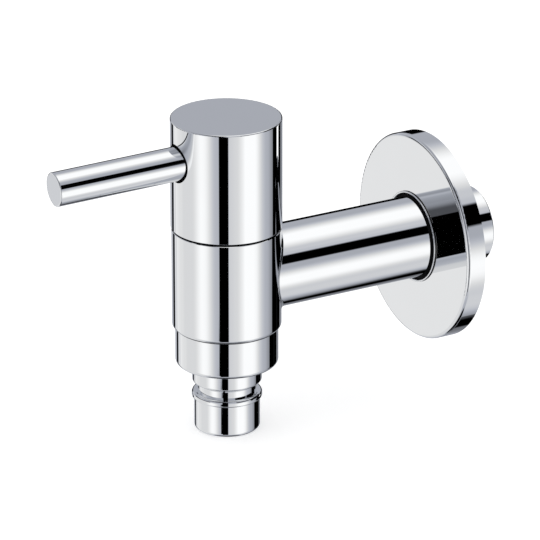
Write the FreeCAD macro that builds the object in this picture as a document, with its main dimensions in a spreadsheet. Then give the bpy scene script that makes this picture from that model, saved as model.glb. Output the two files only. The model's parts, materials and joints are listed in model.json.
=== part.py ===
import FreeCAD, Part
import os
import re

import Sketcher

# Wall-mounted tap with a quarter-turn handle and a nozzle for a push-fit hose connector.
# Frame: the origin lies on the inlet axis in the plane of the finished wall, +Y points into the
# wall, +Z up and +X to the right of someone who faces the wall. Millimetres and degrees.
# Heights are measured from the inlet axis, depths from the wall.

# Driving dimensions, one cell each
SIZES = {
    # General
    "wall_to_axis": 76.0,
    "water_dia": 10.0,
    "thread_gap": 0.05,
    "seal_thick": 1.5,
    # Barrel
    "body_dia": 35.0,
    "body_rise": 16.7,
    "body_drop": 16.7,
    "body_round": 1.2,
    "body_chamfer": 0.3,
    "chamber_dia": 24.0,
    # Arm and wall side
    "arm_dia": 26.5,
    "arm_spigot_dia": 13.0,
    "arm_core_dia": 17.0,
    "arm_root_thick": 5.0,
    "arm_end_gap": 1.0,
    "tail_dia": 25.0,
    "tail_length": 17.0,
    "tail_chamfer": 0.5,
    "tail_stub_dia": 20.8,
    "tail_stub_length": 10.0,
    "inlet_thread_dia": 18.64,
    "inlet_thread_length": 12.0,
    "washer_room_dia": 20.0,
    "washer_thick": 2.0,
    "strainer_thick": 0.6,
    "strainer_rim": 3.15,
    "strainer_hole_dia": 1.6,
    # Rosette
    "rosette_dia": 68.0,
    "rosette_depth": 6.6,
    "rosette_wall": 1.2,
    "rosette_round": 1.2,
    "rosette_hole_gap": 1.15,
    "lip_rise": 0.9,
    "lip_width": 0.6,
    "lip_round": 0.28,
    "gland_depth": 3.2,
    "gland_wall": 1.2,
    "grip_width": 2.6,
    "grip_gap": 0.05,
    # Collar
    "collar_dia": 33.0,
    "collar_height": 12.6,
    "collar_round": 1.5,
    "collar_stub_dia": 20.8,
    "collar_stub_length": 6.5,
    # Hose nozzle
    "nozzle_stub_dia": 18.0,
    "nozzle_stub_length": 6.5,
    "shoulder_dia": 22.4,
    "shoulder_height": 5.9,
    "shoulder_round": 0.9,
    "taper_height": 1.2,
    "groove_dia": 19.0,
    "groove_height": 2.4,
    "bead_dia": 22.6,
    "bead_height": 2.3,
    "bead_round": 1.0,
    "bead_foot_round": 0.6,
    "tip_dia": 21.2,
    "tip_height": 10.6,
    "tip_round": 1.3,
    "mouth_dia": 17.0,
    "mouth_depth": 7.5,
    "mouth_chamfer": 0.4,
    "grille_thick": 3.0,
    "grille_rim": 0.65,
    "grille_hole_dia": 2.4,
    # Cartridge
    "cartridge_thread_dia": 20.9,
    "cartridge_thread_length": 8.5,
    "cartridge_nose_dia": 17.5,
    "cartridge_length": 22.7,
    "seat_gap": 0.6,
    "seat_ring_height": 4.0,
    "hex_inset": 5.5,
    "hex_height": 6.0,
    "neck_dia": 15.0,
    "neck_height": 9.0,
    "neck_chamfer": 0.6,
    "flange_ring_cord": 1.5,
    "disc_dia": 14.4,
    "disc_thick": 3.0,
    "disc_play": 0.08,
    "disc_gap": 0.03,
    "port_inner_dia": 4.4,
    "port_outer_dia": 10.0,
    "port_spread": 78.0,
    "window_width": 9.0,
    "window_height": 4.5,
    # Spindle
    "stem_dia": 8.2,
    "stem_play": 0.05,
    "flange_height": 3.2,
    "flange_play": 0.3,
    "handle_swing": 90.0,
    "stop_lug_spread": 24.0,
    "stop_lug_inner_dia": 10.4,
    "stop_lug_height": 1.8,
    "stop_margin": 2.0,
    "tongue_width": 2.0,
    "tongue_length": 9.6,
    "tongue_depth": 1.0,
    "stem_ring_cord": 1.5,
    "stem_ring_rise": 12.0,
    "stem_ring_pitch": 4.0,
    "clip_dia": 11.0,
    "clip_thick": 0.8,
    "clip_play": 0.2,
    "clip_groove_dia": 6.6,
    "spindle_rise": 28.0,
    "spline_root_dia": 7.2,
    "spline_tip_dia": 8.0,
    "spline_half_tooth": 0.5,
    "spline_teeth": 20,
    # Handle
    "seam_gap": 0.55,
    "cap_overhang": 0.25,
    "cap_height": 36.5,
    "cap_wall": 2.4,
    "cap_top_thick": 3.0,
    "cap_hub_dia": 19.0,
    "cap_boss_dia": 16.6,
    "cap_round": 0.45,
    "cap_foot_round": 0.2,
    "guide_height": 5.0,
    "guide_play": 0.08,
    "adapter_across": 12.0,
    "adapter_end_gap": 0.3,
    # Lever
    "lever_dia": 11.0,
    "lever_reach": 60.0,
    "lever_rise": 41.6,
    "lever_droop": 2.0,
    "lever_turn": 3.0,
    "lever_round": 0.4,
    "lever_seat_depth": 2.75,
    "lever_gap": 0.75,
    "lever_ring_length": 1.3,
    "stud_dia": 6.0,
    "stud_in_lever": 11.0,
    "stud_chamfer": 0.5,
}

# Radii, heights and depths that follow from the driving dimensions
PLACES = {
    "water_r": "water_dia / 2",
    # Barrel
    "body_r": "body_dia / 2",
    "body_top": "body_rise",
    "body_low": "-body_drop",
    "chamber_r": "chamber_dia / 2",
    "body_thread_r": "cartridge_thread_dia / 2 + thread_gap",
    "body_thread_low": "body_top - cartridge_thread_length",
    "body_recess_r": "flange_ring_r + flange_ring_cord / 2 + thread_gap",
    "body_recess_low": "body_top - flange_ring_cord",
    "seat_z": "nose_low - seat_gap",
    "collar_socket_r": "collar_stub_r + thread_gap",
    "collar_socket_top": "collar_stub_top + seal_thick",
    "arm_socket_r": "arm_spigot_r + thread_gap",
    "arm_socket_start": "sqrt(chamber_r ^ 2 - arm_socket_r ^ 2)",
    # Arm, in depths from the wall
    "arm_r": "arm_dia / 2",
    "arm_spigot_r": "arm_spigot_dia / 2",
    "arm_axis_meet": "-wall_to_axis",
    "arm_front": "-wall_to_axis + sqrt(body_r ^ 2 - arm_r ^ 2) / 2",
    "arm_back": "-arm_end_gap",
    "arm_core_r": "arm_core_dia / 2",
    "arm_core_front": "-wall_to_axis + body_r + arm_root_thick",
    "arm_spigot_front": "-wall_to_axis + chamber_r",
    "arm_spigot_back": "-wall_to_axis + body_r + arm_end_gap",
    "arm_bore_r": "tail_stub_r + thread_gap",
    "arm_ledge": "tail_front - seal_thick",
    # Tail
    "tail_r": "tail_dia / 2",
    "tail_stub_r": "tail_stub_dia / 2",
    "tail_front": "arm_back - tail_stub_length",
    "tail_end": "tail_length",
    "inlet_thread_r": "inlet_thread_dia / 2",
    "inlet_floor": "tail_end - inlet_thread_length",
    "washer_room_r": "washer_room_dia / 2",
    "washer_r": "washer_room_r - thread_gap",
    "strainer_top": "inlet_floor - washer_thick",
    "strainer_low": "strainer_top - strainer_thick",
    "strainer_hole_r": "strainer_hole_dia / 2",
    "strainer_pitch": "(washer_r - strainer_rim - strainer_hole_r) / 2",
    # Rosette
    "rosette_r": "rosette_dia / 2",
    "rosette_front": "-rosette_depth",
    "rosette_inner_front": "rosette_front + rosette_wall",
    "rosette_inner_r": "rosette_r - rosette_wall",
    "rosette_back": "0",
    "rosette_hole_r": "arm_r + rosette_hole_gap",
    "lip_r": "rosette_hole_r + lip_width",
    "lip_front": "rosette_front - lip_rise",
    "gland_inner_r": "rosette_hole_r + gland_wall",
    "gland_outer_r": "gland_inner_r + gland_wall",
    "gland_back": "rosette_inner_front + gland_depth",
    "grip_inner_r": "arm_r + grip_gap",
    "grip_outer_r": "gland_inner_r",
    "grip_back": "rosette_inner_front + grip_width",
    # Collar
    "collar_r": "collar_dia / 2",
    "collar_low": "body_low - collar_height",
    "collar_stub_r": "collar_stub_dia / 2",
    "collar_stub_top": "body_low + collar_stub_length",
    "nozzle_socket_r": "nozzle_stub_r + thread_gap",
    "nozzle_socket_top": "nozzle_stub_top + seal_thick",
    # Hose nozzle
    "nozzle_stub_r": "nozzle_stub_dia / 2",
    "nozzle_stub_top": "collar_low + nozzle_stub_length",
    "shoulder_r": "shoulder_dia / 2",
    "shoulder_low": "collar_low - shoulder_height",
    "groove_r": "groove_dia / 2",
    "groove_top": "shoulder_low - taper_height",
    "bead_top": "groove_top - groove_height",
    "bead_r": "bead_dia / 2",
    "bead_low": "bead_top - bead_height",
    "tip_r": "tip_dia / 2",
    "nozzle_low": "bead_low - tip_height",
    "mouth_r": "mouth_dia / 2",
    "mouth_top": "nozzle_low + mouth_depth",
    "grille_r": "mouth_r - thread_gap",
    "grille_low": "mouth_top - grille_thick",
    "grille_hole_r": "grille_hole_dia / 2",
    "grille_pitch": "(grille_r - grille_rim - grille_hole_r) / 2",
    # Cartridge
    "cartridge_thread_r": "cartridge_thread_dia / 2",
    "nose_r": "cartridge_nose_dia / 2",
    "nose_low": "body_top - cartridge_length",
    "hex_across": "body_dia - 2 * hex_inset",
    "hex_top": "body_top + hex_height",
    "hex_corner_r": "hex_across / sqrt(3)",
    "neck_r": "neck_dia / 2",
    "neck_top": "hex_top + neck_height",
    "flange_ring_r": "cartridge_thread_r + flange_ring_cord / 2 + thread_gap",
    "flange_ring_z": "body_top - flange_ring_cord / 2",
    "disc_r": "disc_dia / 2",
    "disc_room_r": "disc_r + disc_play",
    "disc_room_top": "flange_top + flange_play",
    "fixed_disc_low": "seat_z + seat_ring_height",
    "fixed_disc_top": "fixed_disc_low + disc_thick",
    "moving_disc_low": "fixed_disc_top + disc_gap",
    "moving_disc_top": "moving_disc_low + disc_thick",
    "port_inner_r": "port_inner_dia / 2",
    "port_outer_r": "port_outer_dia / 2",
    "notch_outer_r": "disc_r + disc_play",
    # Spindle
    "stem_r": "stem_dia / 2",
    "stem_hole_r": "stem_r + stem_play",
    "flange_low": "moving_disc_top",
    "flange_top": "flange_low + flange_height",
    "stem_groove_r": "stem_r - stem_ring_cord",
    "stop_lug_inner_r": "stop_lug_inner_dia / 2",
    "stop_room_inner_r": "stop_lug_inner_r - disc_play",
    "stop_room_spread": "handle_swing + stop_lug_spread + 2 * stop_margin",
    "clip_low": "neck_top + clip_play",
    "clip_top": "clip_low + clip_thick",
    "clip_r": "clip_dia / 2",
    "clip_inner_r": "clip_groove_r + thread_gap",
    "clip_groove_r": "clip_groove_dia / 2",
    "spline_root_r": "spline_root_dia / 2",
    "spline_tip_r": "spline_tip_dia / 2",
    "spline_top": "body_top + spindle_rise",
    "tooth_foot": "spline_root_r - spline_half_tooth",
    "slot_hole_r": "spline_root_r + thread_gap",
    "slot_tip": "spline_tip_r + 2 * thread_gap",
    "slot_half": "spline_half_tooth + thread_gap",
    # Handle
    "cap_r": "body_r + cap_overhang",
    "cap_inner_r": "cap_r - cap_wall",
    "cap_low": "body_top + seam_gap",
    "cap_top": "cap_low + cap_height",
    "cap_roof": "cap_top - cap_top_thick",
    "cap_hub_low": "adapter_low + clip_play",
    "cap_hub_r": "cap_hub_dia / 2",
    "cap_boss_r": "cap_boss_dia / 2",
    "guide_inner_r": "hex_corner_r + thread_gap",
    "guide_outer_r": "cap_inner_r - guide_play",
    "guide_top": "body_top + guide_height",
    "adapter_low": "clip_top + clip_play",
    "adapter_top": "spline_top + adapter_end_gap",
    "adapter_corner_r": "adapter_across / sqrt(3)",
    "cap_socket_corner_r": "(adapter_across + 2 * thread_gap) / sqrt(3)",
    "cap_socket_top": "adapter_top + adapter_end_gap",
    # Lever, in distances from the barrel's axis
    "lever_r": "lever_dia / 2",
    "lever_well_r": "lever_r + lever_gap",
    "lever_ring_inner_r": "lever_r + thread_gap",
    "lever_ring_r": "lever_well_r - thread_gap",
    "lever_seat": "cap_r - lever_seat_depth",
    "lever_ring_end": "lever_seat + lever_ring_length",
    "lever_end": "lever_reach",
    "stud_r": "stud_dia / 2",
    "stud_hole_r": "stud_r + thread_gap",
    "stud_start": "adapter_across / 2 + adapter_end_gap",
    "stud_end": "lever_seat + stud_in_lever",
    "stud_hole_end": "stud_end + stud_chamfer",
}

# Frames: where a sub-part's own Z axis lies in the tap
ON_OUTLET = "placement(vector(0; -wall_to_axis; 0); rotation(vector(0; 0; 1); 0))"
ON_OUTLET_SIDEWAYS = "placement(vector(0; -wall_to_axis; 0); rotation(vector(0; 0; 1); 90))"
ON_INLET = "placement(vector(0; 0; 0); rotation(vector(1; 0; 0); -90))"
ON_HANDLE = "placement(vector(0; -wall_to_axis; 0); rotation(vector(0; 0; 1); -lever_turn))"
LEVER_LINE = "placement(vector(0; 0; lever_rise); rotation(vector(1; 0; 0); 90 + lever_droop))"
ON_LEVER = ON_HANDLE + " * " + LEVER_LINE

# Two edges are taken as the same within this distance
TOUCH = 1e-4

doc = FreeCAD.newDocument("WallTap")
sizes = doc.addObject("Spreadsheet::Sheet", "Sizes")
places = doc.addObject("Spreadsheet::Sheet", "Places")
bodies = []


def linked(text):
    """Expression text with each dimension's name written as its cell."""
    def swap(match):
        word = match.group()
        if word in SIZES:
            return "Sizes." + word
        if word in PLACES:
            return "Places." + word
        return word
    return re.sub(r"[a-z][a-z_0-9]*", swap, text)


def number(name):
    """Present value of a dimension."""
    sheet = sizes if name in SIZES else places
    return float(sheet.get(name))


def fill_sheets():
    """Driving dimensions as plain numbers, and what follows from them as formulas."""
    for row, (name, value) in enumerate(SIZES.items(), 1):
        sizes.set("A%d" % row, name)
        sizes.set("B%d" % row, str(value))
        sizes.setAlias("B%d" % row, name)
    for row, name in enumerate(PLACES, 1):
        places.set("A%d" % row, name)
        places.set("B%d" % row, "0")
        places.setAlias("B%d" % row, name)
    doc.recompute()
    for row, formula in enumerate(PLACES.values(), 1):
        places.set("B%d" % row, "=" + linked(formula).replace("Places.", ""))
    doc.recompute()


def bind(thing, **expressions):
    """Ties properties of a feature to the sheets."""
    for name, text in expressions.items():
        thing.setExpression(name, linked(text))


def start_body(name, frame):
    """An empty sub-part whose Z axis lies on a frame."""
    body = doc.addObject("PartDesign::Body", name)
    body.Label = name
    bind(body, Placement=frame)
    bodies.append(body)
    return body


def plane_of(body, role):
    """One of the body's own origin planes or axes."""
    for feature in body.Origin.OriginFeatures:
        if feature.Role == role:
            return feature
    raise ValueError(role)


def sketch_on(body, role, name):
    """An empty sketch on one of the body's origin planes."""
    sketch = body.newObject("Sketcher::SketchObject", name)
    sketch.AttachmentSupport = (plane_of(body, role), [""])
    sketch.MapMode = "FlatFace"
    return sketch


def tie(sketch, kind, terms, text, value):
    """A constraint of the sketch whose value follows the sheets."""
    index = sketch.addConstraint(Sketcher.Constraint(kind, *terms, value))
    sketch.setExpression("Constraints[%d]" % index, linked(text))


def draw_outline(sketch, corners):
    """A closed outline of straight lines through corners given by the names of their distances."""
    spots = []
    for across, along in corners:
        x = 0.0 if across == "axis" else number(across)
        spots.append(FreeCAD.Vector(x, number(along), 0))
    count = len(corners)
    for index in range(count):
        line = Part.LineSegment(spots[index], spots[(index + 1) % count])
        sketch.addGeometry(line, False)
    for index in range(count):
        sketch.addConstraint(Sketcher.Constraint("Coincident", index, 2, (index + 1) % count, 1))
    for index, (across, along) in enumerate(corners):
        if across == "axis":
            sketch.addConstraint(Sketcher.Constraint("PointOnObject", index, 1, -2))
        else:
            tie(sketch, "DistanceX", (-1, 1, index, 1), across, spots[index].x)
        tie(sketch, "DistanceY", (-1, 1, index, 1), along, spots[index].y)


def turn(body, name, corners):
    """Turns an outline of (radius, height) corners about the body's Z axis."""
    sketch = sketch_on(body, "XZ_Plane", name + "_outline")
    draw_outline(sketch, corners)
    feature = body.newObject("PartDesign::Revolution", name)
    feature.Profile = sketch
    feature.ReferenceAxis = (sketch, ["V_Axis"])
    feature.Angle = 360
    doc.recompute()


def block(height, angle="0"):
    """Placement at a height on the body's Z axis, turned about it by an angle."""
    return "placement(vector(0; 0; %s); rotation(vector(0; 0; 1); %s))" % (height, angle)


def primitive(body, name, kind, place, **expressions):
    """A PartDesign primitive with its sizes tied to the sheets."""
    feature = body.newObject("PartDesign::" + kind, name)
    bind(feature, Placement=place, **expressions)
    doc.recompute()
    return feature


def drill(body, name, radius, length, place):
    """A round hole along the Z axis of a placement."""
    return primitive(body, name, "SubtractiveCylinder", place, Radius=radius, Height=length)


def cross_box(body, name, kind, length, width, low, height):
    """A box centred on the Z axis."""
    place = "placement(vector(-(%s) / 2; -(%s) / 2; %s); rotation(vector(0; 0; 1); 0))"
    place = place % (length, width, low)
    return primitive(body, name, kind, place, Length=length, Width=width, Height=height)


def round_edges_at(feature, spots):
    """Names of the feature's round edges at the given (radius, height) pairs."""
    found = []
    for radius, height in spots:
        matches = []
        for index, edge in enumerate(feature.Shape.Edges, 1):
            curve = edge.Curve
            if not isinstance(curve, Part.Circle):
                continue
            same_radius = abs(curve.Radius - number(radius)) < TOUCH
            same_height = abs(curve.Center.z - number(height)) < TOUCH
            if same_radius and same_height:
                matches.append("Edge%d" % index)
        if not matches:
            raise ValueError("%s has no round edge at %s, %s" % (feature.Name, radius, height))
        found.extend(matches)
    return found


def fillet(body, name, radius, *spots):
    """Rounds the round edges at the given (radius, height) pairs."""
    base = body.Tip
    feature = body.newObject("PartDesign::Fillet", name)
    feature.Base = (base, round_edges_at(base, spots))
    bind(feature, Radius=radius)
    doc.recompute()


def chamfer(body, name, size, *spots):
    """Bevels the round edges at the given (radius, height) pairs."""
    base = body.Tip
    feature = body.newObject("PartDesign::Chamfer", name)
    feature.Base = (base, round_edges_at(base, spots))
    bind(feature, Size=size)
    doc.recompute()


def repeat(body, name, feature, count):
    """Repeats a feature evenly round the body's Z axis."""
    pattern = body.newObject("PartDesign::PolarPattern", name)
    pattern.Originals = [feature]
    pattern.Axis = (plane_of(body, "Z_Axis"), [""])
    pattern.Angle = 360
    bind(pattern, Occurrences=count)
    body.Tip = pattern
    doc.recompute()


def extrude(body, name, kind, sketch, length, low, angle="0"):
    """Pads or pockets a sketch upwards from a height, turned about the Z axis by an angle."""
    bind(sketch, AttachmentOffset=block(low, angle))
    feature = body.newObject(kind, name)
    feature.Profile = sketch
    feature.Reversed = kind == "PartDesign::Pocket"
    bind(feature, Length=length)
    doc.recompute()
    return feature


def washer(name, frame, inner, outer, low, high):
    """A plain flat ring."""
    body = start_body(name, frame)
    turn(body, name + "_ring", [(inner, low), (outer, low), (outer, high), (inner, high)])


def cord_ring(name, frame, ring_radius, cord, height):
    """A ring of round cord."""
    body = start_body(name, frame)
    primitive(body, name + "_cord", "AdditiveTorus", block(height),
              Radius1=ring_radius, Radius2="(%s) / 2" % cord)


def holed_disc(name, frame, radius, low, high, hole_radius, pitch):
    """A disc with one hole in the middle, six round it and twelve round those."""
    body = start_body(name, frame)
    thick = "%s - %s" % (high, low)
    primitive(body, name + "_disc", "AdditiveCylinder", block(low), Radius=radius, Height=thick)
    drill(body, name + "_middle", hole_radius, thick, block(low))
    for ring, count in ((1, "6"), (2, "12")):
        place = "placement(vector(%d * %s; 0; %s); rotation(vector(0; 0; 1); 0))"
        hole = drill(body, "%s_hole_%d" % (name, ring), hole_radius, thick,
                     place % (ring, pitch, low))
        repeat(body, "%s_holes_%d" % (name, ring), hole, count)


def draw_sector(sketch, inner, outer, spread):
    """A ring sector centred on the sketch's vertical axis."""
    half = FreeCAD.Units.Quantity(number(spread) / 2, "deg").getValueAs("rad").Value
    quarter = FreeCAD.Units.Quantity(90, "deg").getValueAs("rad").Value
    centre = FreeCAD.Vector(0, 0, 0)
    up = FreeCAD.Vector(0, 0, 1)
    for radius in (inner, outer):
        circle = Part.Circle(centre, up, number(radius))
        sketch.addGeometry(Part.ArcOfCircle(circle, quarter - half, quarter + half), False)
    for point in (1, 2):
        start = sketch.getPoint(0, point)
        end = sketch.getPoint(1, point)
        sketch.addGeometry(Part.LineSegment(start, end), False)
    for arc, radius in ((0, inner), (1, outer)):
        sketch.addConstraint(Sketcher.Constraint("Coincident", arc, 3, -1, 1))
        tie(sketch, "Radius", (arc,), radius, number(radius))
    for line, point, side in ((2, 1, "-"), (3, 2, "+")):
        sketch.addConstraint(Sketcher.Constraint("Coincident", line, 1, 0, point))
        sketch.addConstraint(Sketcher.Constraint("Coincident", line, 2, 1, point))
        sketch.addConstraint(Sketcher.Constraint("PointOnObject", -1, 1, line))
        angle = quarter - half if side == "-" else quarter + half
        tie(sketch, "Angle", (line,), "(90 %s %s / 2) * 1 deg" % (side, spread), angle)


def spline_teeth(body, name, kind, foot, tip, half, low, length):
    """Straight teeth or slots round the Z axis."""
    sketch = sketch_on(body, "XY_Plane", name + "_outline")
    spots = [(number(foot), -number(half)), (number(tip), 0.0), (number(foot), number(half))]
    corners = [FreeCAD.Vector(x, y, 0) for x, y in spots]
    for index in range(3):
        sketch.addGeometry(Part.LineSegment(corners[index], corners[(index + 1) % 3]), False)
    for index in range(3):
        sketch.addConstraint(Sketcher.Constraint("Coincident", index, 2, (index + 1) % 3, 1))
    sketch.addConstraint(Sketcher.Constraint("PointOnObject", 1, 1, -1))
    tie(sketch, "DistanceX", (-1, 1, 1, 1), tip, number(tip))
    for index, side in ((0, "-"), (2, "")):
        tie(sketch, "DistanceX", (-1, 1, index, 1), foot, spots[index][0])
        tie(sketch, "DistanceY", (-1, 1, index, 1), side + half, spots[index][1])
    tooth = extrude(body, name + "_tooth", kind, sketch, length, low)
    repeat(body, name, tooth, "spline_teeth")


def make_valve_body():
    """Barrel: cartridge thread and chamber above, collar socket below, arm socket at the back."""
    body = start_body("valve_body", ON_OUTLET)
    turn(body, "barrel", [
        ("collar_socket_r", "body_low"),
        ("body_r", "body_low"),
        ("body_r", "body_top"),
        ("body_recess_r", "body_top"),
        ("body_recess_r", "body_recess_low"),
        ("body_thread_r", "body_recess_low"),
        ("body_thread_r", "body_thread_low"),
        ("chamber_r", "body_thread_low"),
        ("chamber_r", "seat_z"),
        ("water_r", "seat_z"),
        ("water_r", "collar_socket_top"),
        ("collar_socket_r", "collar_socket_top"),
    ])
    back_face = "placement(vector(0; arm_socket_start; 0); rotation(vector(1; 0; 0); -90))"
    drill(body, "arm_socket", "arm_socket_r", "body_r", back_face)
    fillet(body, "barrel_lower_round", "body_round", ("body_r", "body_low"))
    chamfer(body, "barrel_upper_bevel", "body_chamfer", ("body_r", "body_top"))


def make_inlet_arm():
    """Tube coped to the barrel, with a spigot into it and a threaded seat for the tail."""
    body = start_body("inlet_arm", ON_INLET)
    turn(body, "arm_tube", [
        ("water_r", "arm_front"),
        ("arm_r", "arm_front"),
        ("arm_r", "arm_back"),
        ("arm_bore_r", "arm_back"),
        ("arm_bore_r", "arm_ledge"),
        ("arm_core_r", "arm_ledge"),
        ("arm_core_r", "arm_core_front"),
        ("water_r", "arm_core_front"),
    ])
    barrel_line = "placement(vector(0; arm_r; arm_axis_meet); rotation(vector(1; 0; 0); 90))"
    drill(body, "arm_cope", "body_r", "arm_dia", barrel_line)
    turn(body, "arm_spigot", [
        ("water_r", "arm_spigot_front"),
        ("arm_spigot_r", "arm_spigot_front"),
        ("arm_spigot_r", "arm_spigot_back"),
        ("water_r", "arm_spigot_back"),
    ])


def make_inlet_tail():
    """Tail that screws into the arm and takes the wall pipe's thread."""
    body = start_body("inlet_tail", ON_INLET)
    turn(body, "tail", [
        ("water_r", "tail_front"),
        ("tail_stub_r", "tail_front"),
        ("tail_stub_r", "arm_back"),
        ("tail_r", "arm_back"),
        ("tail_r", "tail_end"),
        ("inlet_thread_r", "tail_end"),
        ("inlet_thread_r", "inlet_floor"),
        ("washer_room_r", "inlet_floor"),
        ("washer_room_r", "strainer_low"),
        ("water_r", "strainer_low"),
    ])
    chamfer(body, "tail_bevels", "tail_chamfer", ("tail_r", "tail_end"), ("inlet_thread_r", "tail_end"))


def make_inlet_seals():
    """Seals and strainer between the wall pipe and the arm."""
    washer("tail_seal", ON_INLET, "arm_core_r", "tail_stub_r", "arm_ledge", "tail_front")
    washer("inlet_washer", ON_INLET, "water_r", "washer_r", "strainer_top", "inlet_floor")
    holed_disc("inlet_strainer", ON_INLET, "washer_r", "strainer_low", "strainer_top",
               "strainer_hole_r", "strainer_pitch")


def make_rosette():
    """Hollow cover plate with a raised lip and a gland round its hole, and the rubber ring in the gland."""
    body = start_body("wall_rosette", ON_INLET)
    turn(body, "rosette_shell", [
        ("rosette_hole_r", "lip_front"),
        ("lip_r", "lip_front"),
        ("lip_r", "rosette_front"),
        ("rosette_r", "rosette_front"),
        ("rosette_r", "rosette_back"),
        ("rosette_inner_r", "rosette_back"),
        ("rosette_inner_r", "rosette_inner_front"),
        ("gland_outer_r", "rosette_inner_front"),
        ("gland_outer_r", "gland_back"),
        ("gland_inner_r", "gland_back"),
        ("gland_inner_r", "rosette_inner_front"),
        ("rosette_hole_r", "rosette_inner_front"),
    ])
    fillet(body, "rosette_rim_round", "rosette_round", ("rosette_r", "rosette_front"))
    fillet(body, "lip_edge_rounds", "lip_round", ("rosette_hole_r", "lip_front"), ("lip_r", "lip_front"))
    washer("rosette_ring", ON_INLET, "grip_inner_r", "grip_outer_r", "rosette_inner_front", "grip_back")


def make_outlet_collar():
    """Collar screwed into the barrel's foot, with the nozzle's socket below."""
    body = start_body("outlet_collar", ON_OUTLET)
    turn(body, "collar", [
        ("water_r", "collar_stub_top"),
        ("collar_stub_r", "collar_stub_top"),
        ("collar_stub_r", "body_low"),
        ("collar_r", "body_low"),
        ("collar_r", "collar_low"),
        ("nozzle_socket_r", "collar_low"),
        ("nozzle_socket_r", "nozzle_socket_top"),
        ("water_r", "nozzle_socket_top"),
    ])
    fillet(body, "collar_lower_round", "collar_round", ("collar_r", "collar_low"))


def make_hose_nozzle():
    """Nozzle with a locking groove above a rounded bead, for a push-fit hose connector."""
    body = start_body("hose_nozzle", ON_OUTLET)
    turn(body, "nozzle", [
        ("water_r", "nozzle_stub_top"),
        ("nozzle_stub_r", "nozzle_stub_top"),
        ("nozzle_stub_r", "collar_low"),
        ("shoulder_r", "collar_low"),
        ("shoulder_r", "shoulder_low"),
        ("groove_r", "groove_top"),
        ("groove_r", "bead_top"),
        ("bead_r", "bead_top"),
        ("bead_r", "bead_low"),
        ("tip_r", "bead_low"),
        ("tip_r", "nozzle_low"),
        ("mouth_r", "nozzle_low"),
        ("mouth_r", "mouth_top"),
        ("water_r", "mouth_top"),
    ])
    fillet(body, "shoulder_lower_round", "shoulder_round", ("shoulder_r", "shoulder_low"))
    fillet(body, "bead_upper_round", "bead_round", ("bead_r", "bead_top"))
    fillet(body, "bead_lower_round", "bead_foot_round", ("bead_r", "bead_low"))
    fillet(body, "tip_lower_round", "tip_round", ("tip_r", "nozzle_low"))
    chamfer(body, "mouth_bevel", "mouth_chamfer", ("mouth_r", "nozzle_low"))


def make_outlet_seals():
    """Washers at the collar and nozzle threads, and the grille in the nozzle's mouth."""
    washer("collar_seal", ON_OUTLET, "water_r", "collar_stub_r", "collar_stub_top", "collar_socket_top")
    washer("nozzle_seal", ON_OUTLET, "water_r", "nozzle_stub_r", "nozzle_stub_top", "nozzle_socket_top")
    holed_disc("flow_straightener", ON_OUTLET, "grille_r", "grille_low", "mouth_top",
               "grille_hole_r", "grille_pitch")


def make_cartridge_body():
    """Headwork: hexagon and neck above its thread, disc room with stop and side windows below."""
    body = start_body("cartridge_body", ON_OUTLET)
    primitive(body, "cartridge_hexagon", "AdditivePrism", block("body_top"),
              Circumradius="hex_corner_r", Height="hex_height")
    turn(body, "cartridge", [
        ("axis", "nose_low"),
        ("nose_r", "nose_low"),
        ("nose_r", "body_thread_low"),
        ("cartridge_thread_r", "body_thread_low"),
        ("cartridge_thread_r", "body_top"),
        ("neck_r", "body_top"),
        ("neck_r", "neck_top"),
        ("axis", "neck_top"),
    ])
    drill(body, "disc_room", "disc_room_r", "disc_room_top - nose_low", block("nose_low"))
    drill(body, "stem_hole", "stem_hole_r", "neck_top - nose_low", block("nose_low"))
    stop_room = sketch_on(body, "XY_Plane", "stop_room_outline")
    draw_sector(stop_room, "stop_room_inner_r", "disc_room_r", "stop_room_spread")
    extrude(body, "stop_room", "PartDesign::Pocket", stop_room, "stop_lug_height",
            "disc_room_top", "handle_swing / 2 - lever_turn")
    cross_box(body, "side_windows", "SubtractiveBox", "2 * cartridge_nose_dia", "window_width",
              "moving_disc_low", "window_height")
    chamfer(body, "neck_bevel", "neck_chamfer", ("neck_r", "neck_top"))
    cord_ring("cartridge_seal", ON_OUTLET, "flange_ring_r", "flange_ring_cord", "flange_ring_z")


def make_discs():
    """Fixed disc with two ports, moving disc with two notches, and the rubber ring below them."""
    fixed = start_body("fixed_disc", ON_OUTLET_SIDEWAYS)
    primitive(fixed, "fixed_disc_blank", "AdditiveCylinder", block("fixed_disc_low"),
              Radius="disc_r", Height="disc_thick")
    port = sketch_on(fixed, "XY_Plane", "port_outline")
    draw_sector(port, "port_inner_r", "port_outer_r", "port_spread")
    cut = extrude(fixed, "port", "PartDesign::Pocket", port, "disc_thick", "fixed_disc_low")
    repeat(fixed, "ports", cut, "2")

    moving = start_body("moving_disc", ON_HANDLE)
    primitive(moving, "moving_disc_blank", "AdditiveCylinder", block("moving_disc_low"),
              Radius="disc_r", Height="disc_thick")
    notch = sketch_on(moving, "XY_Plane", "notch_outline")
    draw_sector(notch, "port_inner_r", "notch_outer_r", "port_spread")
    cut = extrude(moving, "notch", "PartDesign::Pocket", notch, "disc_thick", "moving_disc_low")
    repeat(moving, "notches", cut, "2")
    cross_box(moving, "tongue_slot", "SubtractiveBox", "tongue_length + 2 * thread_gap",
              "tongue_width + 2 * thread_gap", "moving_disc_top - tongue_depth - thread_gap",
              "tongue_depth + thread_gap")

    washer("seat_ring", ON_OUTLET, "water_r", "disc_r", "seat_z", "fixed_disc_low")


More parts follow.
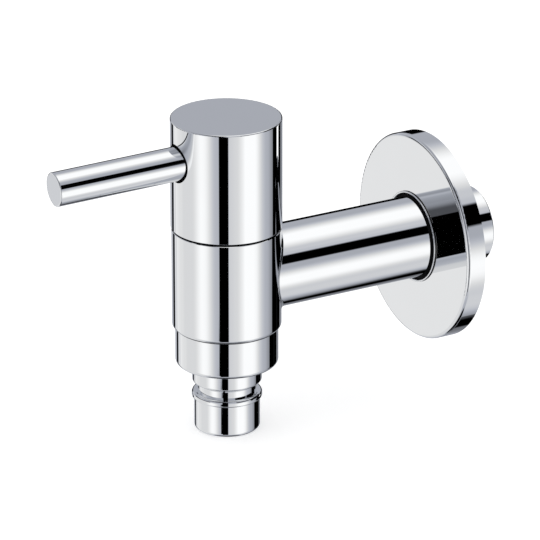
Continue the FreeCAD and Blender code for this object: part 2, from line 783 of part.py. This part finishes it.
def make_spindle():
    """Spindle: flange with driving tongue and stop lug, stem with ring grooves, and splines."""
    body = start_body("spindle", ON_HANDLE)
    turn(body, "spindle_blank", [
        ("axis", "flange_low"),
        ("disc_r", "flange_low"),
        ("disc_r", "flange_top"),
        ("stem_r", "flange_top"),
        ("stem_r", "clip_low"),
        ("clip_groove_r", "clip_low"),
        ("clip_groove_r", "clip_top"),
        ("spline_root_r", "clip_top"),
        ("spline_root_r", "spline_top"),
        ("axis", "spline_top"),
    ])
    cross_box(body, "driving_tongue", "AdditiveBox", "tongue_length", "tongue_width",
              "flange_low - tongue_depth", "tongue_depth")
    lug = sketch_on(body, "XY_Plane", "stop_lug_outline")
    draw_sector(lug, "stop_lug_inner_r", "disc_r", "stop_lug_spread")
    extrude(body, "stop_lug", "PartDesign::Pad", lug, "stop_lug_height", "flange_top")
    spline_teeth(body, "spindle_spline", "PartDesign::Pad", "tooth_foot", "spline_tip_r",
                 "spline_half_tooth", "clip_top", "spline_top - clip_top")
    for index, name in enumerate(("lower_spindle_ring", "upper_spindle_ring")):
        middle = "flange_top + stem_ring_rise + %d * stem_ring_pitch" % index
        low = "%s - stem_ring_cord / 2 - thread_gap" % middle
        place = block(low)
        drill(body, name + "_groove", "stem_hole_r", "stem_ring_cord + 2 * thread_gap", place)
        primitive(body, name + "_core", "AdditiveCylinder", place,
                  Radius="stem_groove_r", Height="stem_ring_cord + 2 * thread_gap")
        cord_ring(name, ON_HANDLE, "stem_r - stem_ring_cord / 2", "stem_ring_cord", middle)


def make_spindle_clip():
    """Open clip in the spindle's groove, above the neck."""
    body = start_body("spindle_clip", ON_HANDLE)
    turn(body, "clip_ring", [
        ("clip_inner_r", "clip_low"),
        ("clip_r", "clip_low"),
        ("clip_r", "clip_top"),
        ("clip_inner_r", "clip_top"),
    ])
    mouth = "placement(vector(0; -clip_groove_r; clip_low); rotation(vector(0; 0; 1); 0))"
    primitive(body, "clip_mouth", "SubtractiveBox", mouth,
              Length="clip_r", Width="clip_groove_dia", Height="clip_thick")


def make_spline_adapter():
    """Hexagonal bush that fits over the spindle's spline and into the cap."""
    body = start_body("spline_adapter", ON_HANDLE)
    primitive(body, "adapter_hexagon", "AdditivePrism", block("adapter_low"),
              Circumradius="adapter_corner_r", Height="adapter_top - adapter_low")
    drill(body, "adapter_bore", "slot_hole_r", "adapter_top - adapter_low", block("adapter_low"))
    spline_teeth(body, "adapter_spline", "PartDesign::Pocket", "tooth_foot", "slot_tip",
                 "slot_half", "adapter_low", "adapter_top - adapter_low")


def make_handle():
    """Hollow cap with a hub, a boss and well for the lever, and the ring that centres its skirt."""
    body = start_body("handle_cap", ON_HANDLE)
    turn(body, "cap", [
        ("axis", "cap_roof"),
        ("cap_inner_r", "cap_roof"),
        ("cap_inner_r", "cap_low"),
        ("cap_r", "cap_low"),
        ("cap_r", "cap_top"),
        ("axis", "cap_top"),
    ])
    primitive(body, "cap_hub", "AdditiveCylinder", block("cap_hub_low"),
              Radius="cap_hub_r", Height="cap_top - cap_hub_low")
    primitive(body, "lever_boss", "AdditiveCylinder", LEVER_LINE,
              Radius="cap_boss_r", Height="lever_seat")
    primitive(body, "cap_socket", "SubtractivePrism", block("adapter_low"),
              Circumradius="cap_socket_corner_r", Height="cap_socket_top - adapter_low")
    lever_well = LEVER_LINE + " * " + block("lever_seat")
    drill(body, "lever_well", "lever_well_r", "cap_r", lever_well)
    drill(body, "stud_thread", "stud_hole_r", "lever_seat", LEVER_LINE)
    fillet(body, "cap_upper_round", "cap_round", ("cap_r", "cap_top"))
    fillet(body, "cap_lower_round", "cap_foot_round", ("cap_r", "cap_low"))
    washer("handle_guide", ON_OUTLET, "guide_inner_r", "guide_outer_r", "body_top", "guide_top")


def make_lever():
    """Lever, the stud that holds it and the dark ring round its root."""
    rod = start_body("lever_rod", ON_LEVER)
    turn(rod, "rod", [
        ("stud_hole_r", "lever_seat"),
        ("lever_r", "lever_seat"),
        ("lever_r", "lever_end"),
        ("axis", "lever_end"),
        ("axis", "stud_hole_end"),
        ("stud_hole_r", "stud_hole_end"),
    ])
    fillet(rod, "rod_round", "lever_round", ("lever_r", "lever_end"))

    stud = start_body("lever_stud", ON_LEVER)
    turn(stud, "stud", [
        ("axis", "stud_start"),
        ("stud_r", "stud_start"),
        ("stud_r", "stud_end"),
        ("axis", "stud_end"),
    ])
    chamfer(stud, "stud_bevels", "stud_chamfer", ("stud_r", "stud_start"), ("stud_r", "stud_end"))

    washer("lever_ring", ON_LEVER, "lever_ring_inner_r", "lever_ring_r", "lever_seat", "lever_ring_end")


def check_and_export():
    """Stops on any failed object or shape, then writes one file for each sub-part."""
    doc.recompute()
    for thing in doc.Objects:
        if "Invalid" in thing.State or "Error" in thing.State:
            raise RuntimeError("%s failed: %s" % (thing.Name, thing.State))
    for body in bodies:
        shape = body.Shape
        if shape.isNull() or not shape.isValid() or shape.Volume <= 0:
            raise RuntimeError("%s has no sound shape" % body.Label)
        if len(shape.Solids) != 1:
            raise RuntimeError("%s has %d solids" % (body.Label, len(shape.Solids)))
    os.makedirs("parts", exist_ok=True)
    for body in bodies:
        body.Shape.exportStep("parts/%s.step" % body.Label)
        print("%-20s %9.1f mm3" % (body.Label, body.Shape.Volume))


fill_sheets()
make_valve_body()
make_inlet_arm()
make_inlet_tail()
make_inlet_seals()
make_rosette()
make_outlet_collar()
make_hose_nozzle()
make_outlet_seals()
make_cartridge_body()
make_discs()
make_spindle()
make_spindle_clip()
make_spline_adapter()
make_handle()
make_lever()
check_and_export()
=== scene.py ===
import json
import math

import bmesh
import bpy
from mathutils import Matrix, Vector

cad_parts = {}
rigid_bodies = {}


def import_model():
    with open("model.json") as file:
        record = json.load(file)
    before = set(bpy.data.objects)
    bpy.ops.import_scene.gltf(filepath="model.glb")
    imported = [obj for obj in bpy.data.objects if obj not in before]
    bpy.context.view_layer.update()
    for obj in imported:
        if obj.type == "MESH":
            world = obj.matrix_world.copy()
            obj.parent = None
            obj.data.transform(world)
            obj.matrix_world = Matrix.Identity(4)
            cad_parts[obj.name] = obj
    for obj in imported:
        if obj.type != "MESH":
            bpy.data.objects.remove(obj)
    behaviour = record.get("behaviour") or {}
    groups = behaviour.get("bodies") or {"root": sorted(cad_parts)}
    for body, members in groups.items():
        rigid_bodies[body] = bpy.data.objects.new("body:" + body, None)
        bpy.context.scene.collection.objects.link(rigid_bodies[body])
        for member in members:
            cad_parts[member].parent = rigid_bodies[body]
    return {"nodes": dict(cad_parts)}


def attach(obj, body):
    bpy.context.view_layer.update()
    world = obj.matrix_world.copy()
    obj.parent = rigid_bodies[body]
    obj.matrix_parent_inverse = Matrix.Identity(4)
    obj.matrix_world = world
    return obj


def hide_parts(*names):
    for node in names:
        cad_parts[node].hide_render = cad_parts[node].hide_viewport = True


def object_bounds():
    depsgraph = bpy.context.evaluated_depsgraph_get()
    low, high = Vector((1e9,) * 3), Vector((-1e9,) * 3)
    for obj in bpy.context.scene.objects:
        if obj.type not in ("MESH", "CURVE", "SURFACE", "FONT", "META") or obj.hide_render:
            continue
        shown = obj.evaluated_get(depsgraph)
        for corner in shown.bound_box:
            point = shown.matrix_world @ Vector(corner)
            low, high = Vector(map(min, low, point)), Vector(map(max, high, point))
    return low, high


# Blender's own cube, lamp and camera, where it has put them there, go first.
for thing in list(bpy.data.objects):
    bpy.data.objects.remove(thing)

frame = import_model()
nodes = frame["nodes"]
cad_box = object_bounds()

# Metres in a millimetre and in a micrometre, and degrees in a radian and in half a turn
MM = 0.001
MICRON = 0.000001
RADIAN = math.degrees(1)
HALF_TURN = 180.0


# Node trees

class Tree:
    """A node tree with short calls for the nodes that this script uses."""

    def __init__(self, owner):
        owner.use_nodes = True
        self.tree = owner.node_tree
        self.tree.nodes.clear()

    def add(self, kind, **settings):
        node = self.tree.nodes.new("ShaderNode" + kind)
        for key, value in settings.items():
            setattr(node, key, value)
        return node

    def feed(self, socket, value):
        """Link a socket to another node's output, or set it where the value is plain."""
        if isinstance(value, bpy.types.NodeSocket):
            self.tree.links.new(value, socket)
        else:
            socket.default_value = value

    def math(self, operation, *values):
        node = self.add("Math", operation=operation)
        for socket, value in zip(node.inputs, values):
            self.feed(socket, value)
        return node.outputs[0]

    def fade(self, value, start, end):
        """1 where value is under start, 0 where it is over end, smooth between."""
        node = self.add("MapRange", interpolation_type="SMOOTHSTEP")
        self.feed(node.inputs["Value"], value)
        node.inputs["From Min"].default_value = start
        node.inputs["From Max"].default_value = end
        node.inputs["To Min"].default_value = 1.0
        node.inputs["To Max"].default_value = 0.0
        return node.outputs["Result"]

    def mix(self, factor, first, second):
        """The first colour where the factor is 0, the second where it is 1."""
        node = self.add("Mix", data_type="RGBA")
        colour_inputs = [socket for socket in node.inputs if socket.type == "RGBA"]
        self.feed(node.inputs["Factor"], factor)
        self.feed(colour_inputs[0], first)
        self.feed(colour_inputs[1], second)
        return [socket for socket in node.outputs if socket.type == "RGBA"][0]


def grey(level):
    return (level, level, level, 1.0)


def direction_of(azimuth, elevation):
    """Unit vector, with azimuth 0 towards -Y and 90 towards +X."""
    round_angle = math.radians(azimuth)
    up_angle = math.radians(elevation)
    level_part = math.cos(up_angle)
    return Vector((
        math.sin(round_angle) * level_part,
        -math.cos(round_angle) * level_part,
        math.sin(up_angle),
    ))


# Studio that the polished metal mirrors, in degrees. Azimuth 0 is in front of the tap, 90 is on its right and
# 180 is behind it. The upright walls of cap, barrel, collar and nozzle mirror elevations near -22.

BASE_LEVEL = 0.40
FULL_LEVEL = 1.0

# Soft round panels, which add light or take some away
PANELS = (
    # azimuth, elevation, core radius, outer radius, added level
    # At the height that upright walls mirror
    (-143, -20, 4, 15, -0.16),
    (-74, -22, 6, 22, 0.14),
    (-70, -22.4, 1, 3.5, -0.20),
    (-50, -22, 3, 12, 0.05),
    (-30, -22, 30, 82, 0.29),
    (11, -22, 2, 25, 0.30),
    (84, -22, 3, 13, 0.04),
    (88, -22, 14, 45, 0.24),
    (116, -22, 6, 33, 0.50),
    (152, -22, 5, 14, 0.045),
    (180, -22, 6, 28, -0.14),
    # Above that
    (-170, 64, 6, 42, 0.62),
    (-60, 12, 6, 20, -0.28),
    (-45, 46, 8, 26, -0.10),
    (-8, 23, 10, 28, -0.17),
    (0, 90, 10, 28, 0.35),
    (28, 56, 10, 34, -0.32),
    (60, 76, 8, 20, 0.55),
    (131, 43, 3, 11, 0.12),
    # Below that
    (-145, -52, 5, 32, -0.24),
    (17, -58, 6, 18, -0.13),
    (143, -55, 4, 24, 0.22),
)

# Black flags
FLAGS = (
    # azimuth, elevation, half width, half height, soft edge
    # Stripe up the middle of cap and barrel, which is wider on collar and nozzle
    (55.0, 2, 9.8, 48, 0.8),
    (45.0, -24.3, 1.3, 2.0, 0.3),
    (43.0, -26.3, 3.5, 3.4, 0.3),
    # Left edge, then right edge, of cap, barrel and collar
    (-85, -22, 7, 14, 3.0),
    (-178.5, 2, 10.5, 36, 1.0),
    (-160, -10, 8.5, 24, 1.0),
    # Stripe along arm and lever
    (102, 25.2, 10, 11.8, 1.5),
    (124, 28.5, 14, 10, 1.5),
    # Upper edge, then lower edge, of the arm
    (-118, -2, 32, 13, 1.5),
    (-157, -56, 20, 4.5, 1.5),
    # Parts of the arm's mirror image in the rosette
    (42, 45.5, 7, 7, 1.0),
    (47, -45, 5, 4.0, 1.0),
    # Low fields in front and behind, and the ground
    (-27, 6.5, 31, 8, 1.5),
    (157, 12, 16, 24, 3.0),
    (0, -90, 181, 22, 3.0),
)

# White strip behind the tap, whose mirror image runs up the right edge of the cap
STRIP = (-168.8, -14.0, 4.0, 7.1, 0.6)

# The greys lean to blue, in full under one level and not at all over the other.
GREY_TINT = (0.96, 0.995, 1.10, 1.0)
TINT_FULL_UNDER = 0.40
TINT_NONE_OVER = 0.75

# The studio is this much brighter, for the light that the chrome swallows.
CHROME_LOSS = 1.13
WHITE = grey(1.0)
PLAIN_LIGHT = grey(0.95)


def inside_field(t, azimuth, elevation, field):
    """1 inside a flag or the strip, 0 outside it."""
    field_azimuth, field_elevation, half_width, half_height, soft = field
    across = t.math("WRAP", t.math("SUBTRACT", azimuth, field_azimuth), HALF_TURN, -HALF_TURN)
    up = t.math("SUBTRACT", elevation, field_elevation)
    return t.math(
        "MULTIPLY",
        t.fade(t.math("ABSOLUTE", across), half_width - soft, half_width + soft),
        t.fade(t.math("ABSOLUTE", up), half_height - soft, half_height + soft),
    )


def studio_level(t, direction):
    """How bright the studio is in this direction, which is a unit vector."""
    split = t.add("SeparateXYZ")
    t.feed(split.inputs[0], direction)
    x, y, z = split.outputs
    azimuth = t.math("MULTIPLY", t.math("ARCTAN2", x, t.math("MULTIPLY", y, -1.0)), RADIAN)
    elevation = t.math("MULTIPLY", t.math("ARCSINE", z), RADIAN)
    level = BASE_LEVEL
    for panel_azimuth, panel_elevation, core, outer, added in PANELS:
        dot = t.add("VectorMath", operation="DOT_PRODUCT")
        t.feed(dot.inputs[0], direction)
        dot.inputs[1].default_value = direction_of(panel_azimuth, panel_elevation)
        angle = t.math("MULTIPLY", t.math("ARCCOSINE", dot.outputs["Value"]), RADIAN)
        level = t.math("ADD", level, t.math("MULTIPLY", t.fade(angle, core, outer), added))
    level = t.math("MINIMUM", level, FULL_LEVEL)
    for flag in FLAGS:
        outside = t.math("SUBTRACT", 1.0, inside_field(t, azimuth, elevation, flag))
        level = t.math("MULTIPLY", level, outside)
    return t.math("MAXIMUM", level, inside_field(t, azimuth, elevation, STRIP))


def build_world():
    """Studio for what the metal mirrors, white behind the object, and plain light for everything else."""
    world = bpy.data.worlds.new("studio")
    bpy.context.scene.world = world
    world.cycles.sampling_method = "NONE"
    t = Tree(world)
    unit = t.add("VectorMath", operation="NORMALIZE")
    t.feed(unit.inputs[0], t.add("TexCoord").outputs["Generated"])
    level = studio_level(t, unit.outputs[0])
    studio = t.add("VectorMath", operation="SCALE")
    t.feed(studio.inputs[0], t.mix(t.fade(level, TINT_FULL_UNDER, TINT_NONE_OVER), WHITE, GREY_TINT))
    t.feed(studio.inputs["Scale"], t.math("MULTIPLY", level, CHROME_LOSS))
    path = t.add("LightPath")
    colour = t.mix(path.outputs["Is Glossy Ray"], PLAIN_LIGHT, studio.outputs[0])
    colour = t.mix(path.outputs["Is Camera Ray"], colour, WHITE)
    background = t.add("Background")
    t.feed(background.inputs["Color"], colour)
    t.feed(t.add("OutputWorld").inputs["Surface"], background.outputs[0])


build_world()

# The photo's arm shows no mirror image of the rosette.
nodes["wall_rosette"].visible_glossy = False


# Dark lines of painted shade in the chrome, at the seams and round the foot of the rosette's lip, in
# millimetres

# Pieces whose chrome has painted shade at the seams
SEAM_SHADED_PARTS = ("handle_cap", "valve_body", "outlet_collar")
SEAMS = (
    # height, half height
    (16.88, 0.33),
    (-16.84, 0.10),
)
# Ring of painted shade at the foot of the rosette's lip
FOOT_R = 15.0
FOOT_HALF_WIDTH = 0.12
FOOT_Y = -6.95
FOOT_HALF_DEPTH = 0.30
LINE_EDGE = 0.06
# Near black, for the lines of painted shade
SHADE_LINE_COLOUR = grey(0.01)


def near(t, value, centre, half):
    """1 where value is within half of the centre, 0 further off."""
    away = t.math("ABSOLUTE", t.math("SUBTRACT", value, centre * MM))
    return t.fade(away, half * MM, (half + LINE_EDGE) * MM)


def seam_shade_lines(t, place):
    """Lines of painted shade at the seams between cap, barrel and collar, where shade falls in the gaps."""
    return [near(t, place["Z"], height, half) for height, half in SEAMS]


def foot_shade_line(t, place):
    """Line of painted shade round the foot of the rosette's lip, where shade falls in the corner."""
    squares = [t.math("MULTIPLY", place[axis], place[axis]) for axis in ("X", "Z")]
    radius = t.math("SQRT", t.math("ADD", *squares))
    across = near(t, radius, FOOT_R, FOOT_HALF_WIDTH)
    along = near(t, place["Y"], FOOT_Y, FOOT_HALF_DEPTH)
    return [t.math("MULTIPLY", across, along)]


# Materials, with the scales of their patches and bumps in cells to the metre

def noise(t, coordinates, scale):
    node = t.add("TexNoise")
    t.feed(node.inputs["Vector"], coordinates)
    node.inputs["Scale"].default_value = scale
    return node.outputs["Fac"]


def material(
    name, colour, metallic, roughness, patch_scale, bump_scale, bump_microns,
    shade=0.06, specular=0.5, stretch=(1.0, 1.0, 1.0), lines=None,
):
    """Shader with colour and roughness that vary a little, and a fine bump, all by place on the object.

    The stretch draws the bump out into turning marks round an axis or brush marks along one.
    """
    made = bpy.data.materials.new(name)
    t = Tree(made)
    place = t.add("TexCoord").outputs["Object"]
    patches = noise(t, place, patch_scale)
    darker = [part * (1 - shade) for part in colour] + [1.0]
    lighter = [min(1.0, part * (1 + shade)) for part in colour] + [1.0]
    base = t.mix(patches, darker, lighter)
    # Painted shade: each line darkens the colour to near black.
    if lines:
        split = t.add("SeparateXYZ")
        t.feed(split.inputs[0], place)
        for line in lines(t, split.outputs):
            base = t.mix(line, base, SHADE_LINE_COLOUR)
    shader = t.add("BsdfPrincipled")
    t.feed(shader.inputs["Base Color"], base)
    shader.inputs["Metallic"].default_value = metallic
    shader.inputs["Specular IOR Level"].default_value = specular
    rough = t.add("MapRange")
    t.feed(rough.inputs["Value"], patches)
    rough.inputs["To Min"].default_value = roughness[0]
    rough.inputs["To Max"].default_value = roughness[1]
    t.feed(shader.inputs["Roughness"], rough.outputs["Result"])
    drawn = t.add("VectorMath", operation="MULTIPLY")
    t.feed(drawn.inputs[0], place)
    drawn.inputs[1].default_value = stretch
    bump = t.add("Bump")
    bump.inputs["Strength"].default_value = 1.0
    bump.inputs["Distance"].default_value = bump_microns * MICRON
    t.feed(bump.inputs["Height"], noise(t, drawn.outputs[0], bump_scale))
    t.feed(shader.inputs["Normal"], bump.outputs["Normal"])
    t.feed(t.add("OutputMaterial").inputs["Surface"], shader.outputs[0])
    return made


TURNED = (0.06, 0.06, 1.5)
BRUSHED = (0.1, 1.5, 1.5)
CHROME = {
    "colour": (0.86, 0.87, 0.88),
    "metallic": 1.0,
    "roughness": (0.01, 0.03),
    "patch_scale": 60,
    "bump_scale": 900,
    "bump_microns": 0.3,
    "shade": 0.01,
}
finishes = {
    "chrome_plate": material("chrome_plate_fine", **CHROME),
    "bare_brass": material(
        "bare_brass_turned", colour=(0.78, 0.62, 0.33), metallic=1.0, roughness=(0.22, 0.34),
        patch_scale=300, bump_scale=2500, bump_microns=10, stretch=TURNED,
    ),
    "stainless": material(
        "stainless_brushed", colour=(0.62, 0.62, 0.63), metallic=1.0, roughness=(0.25, 0.38),
        patch_scale=400, bump_scale=3000, bump_microns=10, stretch=BRUSHED,
    ),
    "ceramic_disc": material(
        "ceramic_lapped", colour=(0.92, 0.91, 0.88), metallic=0.0, roughness=(0.12, 0.2),
        patch_scale=500, bump_scale=3000, bump_microns=4, shade=0.03,
    ),
    "black_rubber": material(
        "black_rubber_moulded", colour=(0.004, 0.004, 0.0045), metallic=0.0, roughness=(0.6, 0.8),
        patch_scale=400, bump_scale=2500, bump_microns=30, shade=0.2, specular=0.03,
    ),
    "white_plastic": material(
        "white_plastic_moulded", colour=(0.85, 0.85, 0.82), metallic=0.0, roughness=(0.35, 0.5),
        patch_scale=300, bump_scale=2500, bump_microns=10, shade=0.03,
    ),
    "dark_plastic": material(
        "dark_plastic_moulded", colour=(0.008, 0.008, 0.009), metallic=0.0, roughness=(0.45, 0.6),
        patch_scale=300, bump_scale=2500, bump_microns=10, shade=0.15, specular=0.1,
    ),
}
# Chrome with painted shade at the seams, and chrome with painted shade round the foot of the rosette's lip
seam_shaded_chrome = material("chrome_plate_seam_shade", **CHROME, lines=seam_shade_lines)
foot_shaded_chrome = material("chrome_plate_foot_shade", **CHROME, lines=foot_shade_line)

# Each piece of the CAD comes with a material that has the name of its slot.
for name, node in nodes.items():
    # Cap, barrel and collar get the chrome with painted seam shade, the rosette the chrome with painted shade
    # at its lip's foot.
    if name in SEAM_SHADED_PARTS:
        finish = seam_shaded_chrome
    elif name == "wall_rosette":
        finish = foot_shaded_chrome
    else:
        finish = finishes[node.data.materials[0].name.split(".")[0]]
    for entry in node.material_slots:
        entry.link = "OBJECT"
        entry.material = finish


# Small forms that the CAD leaves to this script, in millimetres

SHARP_ANGLE = math.radians(30)


def closed_ring(sections):
    """Vertices and faces of a ring through closed sections, the last joined to the first."""
    count = len(sections[0])
    faces = []
    for i in range(len(sections)):
        j = (i + 1) % len(sections)
        for k in range(count):
            m = (k + 1) % count
            faces.append((i * count + k, j * count + k, j * count + m, i * count + m))
    return [point for section in sections for point in section], faces


def open_sweep(sections):
    """Vertices and faces of a sweep through closed sections, with a cap at each end."""
    count = len(sections[0])
    vertices, faces = closed_ring(sections)
    faces = faces[:-count]
    last = len(vertices) - count
    return vertices, faces + [tuple(range(count)), tuple(range(last, last + count))]


def section_round_arm(profile, angle):
    """Points of a profile of radii and places along Y, turned round the arm's axis by an angle."""
    return [(r * math.sin(angle), y, r * math.cos(angle)) for r, y in profile]


def full_turn(steps):
    return [2 * math.pi * i / steps for i in range(steps)]


def mesh_object(name, vertices, faces):
    mesh = bpy.data.meshes.new(name)
    mesh.from_pydata([Vector(vertex) * MM for vertex in vertices], [], faces)
    shape = bmesh.new()
    shape.from_mesh(mesh)
    bmesh.ops.recalc_face_normals(shape, faces=shape.faces)
    shape.to_mesh(mesh)
    shape.free()
    made = bpy.data.objects.new(name, mesh)
    bpy.context.scene.collection.objects.link(made)
    return made


def finish_piece(piece, body, slot):
    piece.data.shade_smooth()
    piece.data.set_sharp_from_angle(angle=SHARP_ANGLE)
    piece.data.materials.clear()
    piece.data.materials.append(finishes[slot])
    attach(piece, body)


# Arm and barrel have the CAD's sizes. The fillet sinks into both a little.
ARM_R = 13.25
BARREL_R = 17.5
BARREL_Y = -76.0
BRAZE_R = 1.1
BRAZE_SINK = 0.25
BRAZE_ARC_STEPS = 10
BRAZE_TURN_STEPS = 144


def braze_section(angle):
    """Section of the fillet that a ball of radius BRAZE_R leaves as it rolls round the arm's root."""
    ball_r = ARM_R + BRAZE_R
    centre = Vector((ball_r * math.sin(angle), 0, ball_r * math.cos(angle)))
    centre.y = BARREL_Y + math.sqrt((BARREL_R + BRAZE_R) ** 2 - centre.x ** 2)
    barrel_axis = Vector((0, BARREL_Y, centre.z))
    arm_axis = Vector((0, centre.y, 0))
    on_barrel = barrel_axis.lerp(centre, BARREL_R / (BARREL_R + BRAZE_R))
    on_arm = arm_axis.lerp(centre, ARM_R / ball_r)
    section = []
    for i in range(BRAZE_ARC_STEPS + 1):
        section.append(centre + (on_barrel - centre).slerp(on_arm - centre, i / BRAZE_ARC_STEPS))
    sunk = Vector((on_arm.x, 0, on_arm.z)) * ((ARM_R - BRAZE_SINK) / ARM_R)
    sunk.y = on_barrel.y - BRAZE_SINK
    return section + [sunk]


def build_braze():
    sections = [braze_section(angle) for angle in full_turn(BRAZE_TURN_STEPS)]
    piece = mesh_object("arm_braze_fillet", *closed_ring(sections))
    finish_piece(piece, "tap_body", "chrome_plate")


WIPER_IN_R = 13.3
WIPER_OUT_R = 14.2
WIPER_FRONT = -8.1
WIPER_BACK = -6.2
WIPER_FLARE = 3.0
WIPER_ARC_STEPS = 8
WIPER_TURN_STEPS = 144


def build_wiper():
    """Rubber lip of the rosette's ring, which closes the hole round the arm and is flared like a trumpet.

    It is left out of reflections, as the rosette is.
    """
    sweep = math.acos(1 - (WIPER_OUT_R - WIPER_IN_R) / WIPER_FLARE)
    profile = []
    for i in range(WIPER_ARC_STEPS + 1):
        angle = sweep * i / WIPER_ARC_STEPS
        r = WIPER_IN_R + WIPER_FLARE * (1 - math.cos(angle))
        profile.append((r, WIPER_FRONT + WIPER_FLARE * math.sin(angle)))
    profile += [(WIPER_OUT_R, WIPER_BACK), (WIPER_IN_R, WIPER_BACK)]
    sections = [section_round_arm(profile, angle) for angle in full_turn(WIPER_TURN_STEPS)]
    piece = mesh_object("ring_wiper_lip", *closed_ring(sections))
    finish_piece(piece, "rosette", "black_rubber")
    piece.visible_glossy = False


# Pipe thread G 1/2 cut into the tail's bore
THREAD_PITCH = 1.814
THREAD_ROOT_R = 10.45
THREAD_OPEN_R = 9.1
THREAD_HALF_OPEN = 0.82
THREAD_HALF_ROOT = 0.13
THREAD_START = 18.0
THREAD_TURNS = 6.4
THREAD_TURN_STEPS = 40


def build_threaded_tail():
    sections = []
    for i in range(round(THREAD_TURNS * THREAD_TURN_STEPS) + 1):
        turns = i / THREAD_TURN_STEPS
        y = THREAD_START - THREAD_PITCH * turns
        profile = (
            (THREAD_OPEN_R, y - THREAD_HALF_OPEN),
            (THREAD_ROOT_R, y - THREAD_HALF_ROOT),
            (THREAD_ROOT_R, y + THREAD_HALF_ROOT),
            (THREAD_OPEN_R, y + THREAD_HALF_OPEN),
        )
        sections.append(section_round_arm(profile, 2 * math.pi * turns))
    cutter = mesh_object("thread_cutter", *open_sweep(sections))
    piece = bpy.data.objects.new("threaded_tail", nodes["inlet_tail"].data.copy())
    bpy.context.scene.collection.objects.link(piece)
    cut = piece.modifiers.new("thread", "BOOLEAN")
    cut.operation = "DIFFERENCE"
    cut.solver = "EXACT"
    cut.object = cutter
    graph = bpy.context.evaluated_depsgraph_get()
    threaded = bpy.data.meshes.new_from_object(piece.evaluated_get(graph))
    # Normals that the cut carries over from the plain tail would shade the thread's edges wrongly.
    carried = threaded.attributes.get("custom_normal")
    if carried:
        threaded.attributes.remove(carried)
    piece.modifiers.clear()
    piece.data = threaded
    bpy.data.objects.remove(cutter)
    finish_piece(piece, "tap_body", "chrome_plate")
    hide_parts("inlet_tail")


build_braze()
build_wiper()
build_threaded_tail()


# Floor at the nozzle's end, in metres. It glows a little for the camera, so that it is nearly as white as the
# background and keeps the object's shadow.

FLOOR_Z = cad_box[0][2]
FLOOR_HALF = 3.0
FLOOR_COLOUR = grey(0.86)
SELF_LIGHT = 0.40


def build_floor():
    corners = (
        (-FLOOR_HALF, -FLOOR_HALF, FLOOR_Z),
        (FLOOR_HALF, -FLOOR_HALF, FLOOR_Z),
        (FLOOR_HALF, FLOOR_HALF, FLOOR_Z),
        (-FLOOR_HALF, FLOOR_HALF, FLOOR_Z),
    )
    mesh = bpy.data.meshes.new("floor")
    mesh.from_pydata(corners, [], [(0, 1, 2, 3)])
    floor = bpy.data.objects.new("floor", mesh)
    bpy.context.scene.collection.objects.link(floor)
    made = bpy.data.materials.new("pale_floor")
    t = Tree(made)
    diffuse = t.add("BsdfDiffuse")
    diffuse.inputs["Color"].default_value = FLOOR_COLOUR
    for_camera = t.add("LightPath").outputs["Is Camera Ray"]
    glow = t.add("Emission")
    t.feed(glow.inputs["Strength"], t.math("MULTIPLY", for_camera, SELF_LIGHT))
    both = t.add("AddShader")
    t.feed(both.inputs[0], diffuse.outputs[0])
    t.feed(both.inputs[1], glow.outputs[0])
    t.feed(t.add("OutputMaterial").inputs["Surface"], both.outputs[0])
    mesh.materials.append(made)
    floor.visible_glossy = False


build_floor()


# Camera at the photograph's angle, in degrees and metres, with its lens and sensor in millimetres

CAMERA_AZIMUTH = 59.9
CAMERA_ELEVATION = 21.6
CAMERA_DISTANCE = 1.667
CAMERA_LENS = 349.6
CAMERA_SENSOR = 36
LOOK_AT = Vector((0, -0.076, 0.0033))
SHIFT_RIGHT = 0.0138
SHIFT_UP = -0.00127


def build_camera():
    towards = direction_of(CAMERA_AZIMUTH, CAMERA_ELEVATION)
    round_angle = math.radians(CAMERA_AZIMUTH)
    right = Vector((math.cos(round_angle), math.sin(round_angle), 0))
    up = towards.cross(right)
    camera = bpy.data.objects.new("camera", bpy.data.cameras.new("camera"))
    camera.data.lens = CAMERA_LENS
    camera.data.sensor_width = CAMERA_SENSOR
    camera.location = LOOK_AT + SHIFT_RIGHT * right + SHIFT_UP * up + CAMERA_DISTANCE * towards
    camera.rotation_mode = "QUATERNION"
    camera.rotation_quaternion = (-towards).to_track_quat("-Z", "Y")
    bpy.context.scene.collection.objects.link(camera)
    bpy.context.scene.camera = camera


build_camera()
bpy.context.scene.view_settings.view_transform = "Standard"
